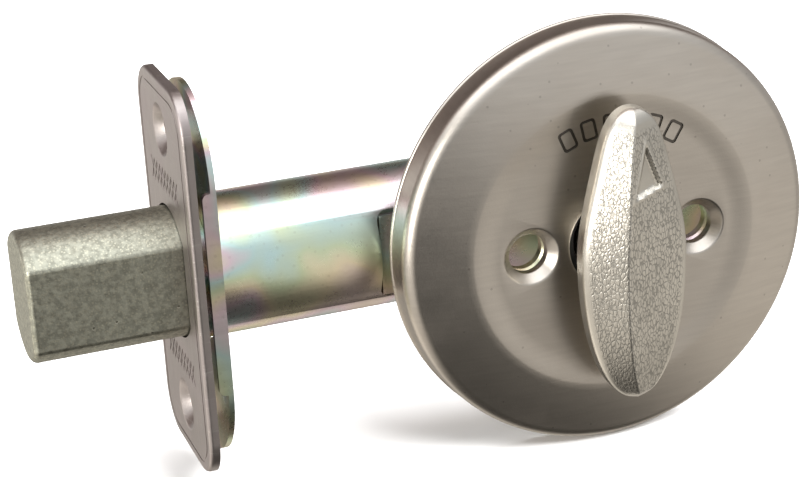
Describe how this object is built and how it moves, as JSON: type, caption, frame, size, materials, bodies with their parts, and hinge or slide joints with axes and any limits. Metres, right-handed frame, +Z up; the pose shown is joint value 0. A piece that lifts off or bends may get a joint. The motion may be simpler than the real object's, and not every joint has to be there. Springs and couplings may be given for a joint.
{
  "type": "deadbolt door lock",
  "caption": "One-sided tubular deadbolt: faceplate, cast bolt in a round latch tube, crank mechanism, round rosette and ridged thumbturn.",
  "frame": {"origin": "where the thumbturn's spindle axis crosses the bolt's axis, at the centre of the door's cross bore", "axes": "+X along the bolt away from the door edge (the bolt leaves towards -X), +Y along the spindle away from the room (the rosette faces -Y), +Z up"},
  "size_m": [0.1141, 0.0424, 0.0636],
  "materials": {
    "satin_nickel": "satin nickel plate over pressed steel, fine horizontal grain",
    "cast_nickel": "satin nickel over a pebbled die casting",
    "plate_steel": "satin stainless plate with light scratches",
    "yellow_zinc": "iridescent yellow zinc plate",
    "cast_bolt": "grainy grey-green casting with small pits",
    "hard_steel": "ground hardened steel",
    "spring_steel": "bright spring steel",
    "black_nylon": "moulded black nylon"
  },
  "bodies": {
    "housing": {"faceplate": "plate_steel", "backplate": "yellow_zinc", "bolt_tube": "yellow_zinc", "housing_plate_front": "yellow_zinc", "housing_plate_rear": "yellow_zinc", "housing_rivet_front": "yellow_zinc", "housing_rivet_rear": "yellow_zinc", "detent_spring": "spring_steel", "rosette": "satin_nickel", "mounting_plate": "yellow_zinc", "stem_bush": "black_nylon"},
    "turn": {"turnpiece": "cast_nickel", "torque_blade": "hard_steel", "spring_washer": "spring_steel", "stem_clip": "spring_steel", "cam_hub": "yellow_zinc"},
    "bolt": {"bolt": "cast_bolt", "slide_bar": "yellow_zinc", "slide_link_pin": "hard_steel", "drive_pin": "hard_steel", "saw_pin_plug": "spring_steel"},
    "saw_pin": {"saw_pin": "hard_steel"}
  },
  "joints": [
    {"name": "thumbturn_turn", "type": "hinge", "parent": "housing", "child": "turn", "pos_m": [0, 0, 0], "axis": [0, -1, 0], "range_deg": [0, 90]},
    {"name": "bolt_slide", "type": "slide", "parent": "housing", "child": "bolt", "axis": [1, 0, 0], "range_m": [0, 0.022]},
    {"name": "saw_pin_spin", "type": "hinge", "parent": "bolt", "child": "saw_pin", "pos_m": [-0.0617, 0, 0.002], "axis": [1, 0, 0], "continuous": true}
  ],
  "couplings": [
    {"joint": "thumbturn_turn", "follows": "bolt_slide", "rad_per_m": 71.4}
  ]
}
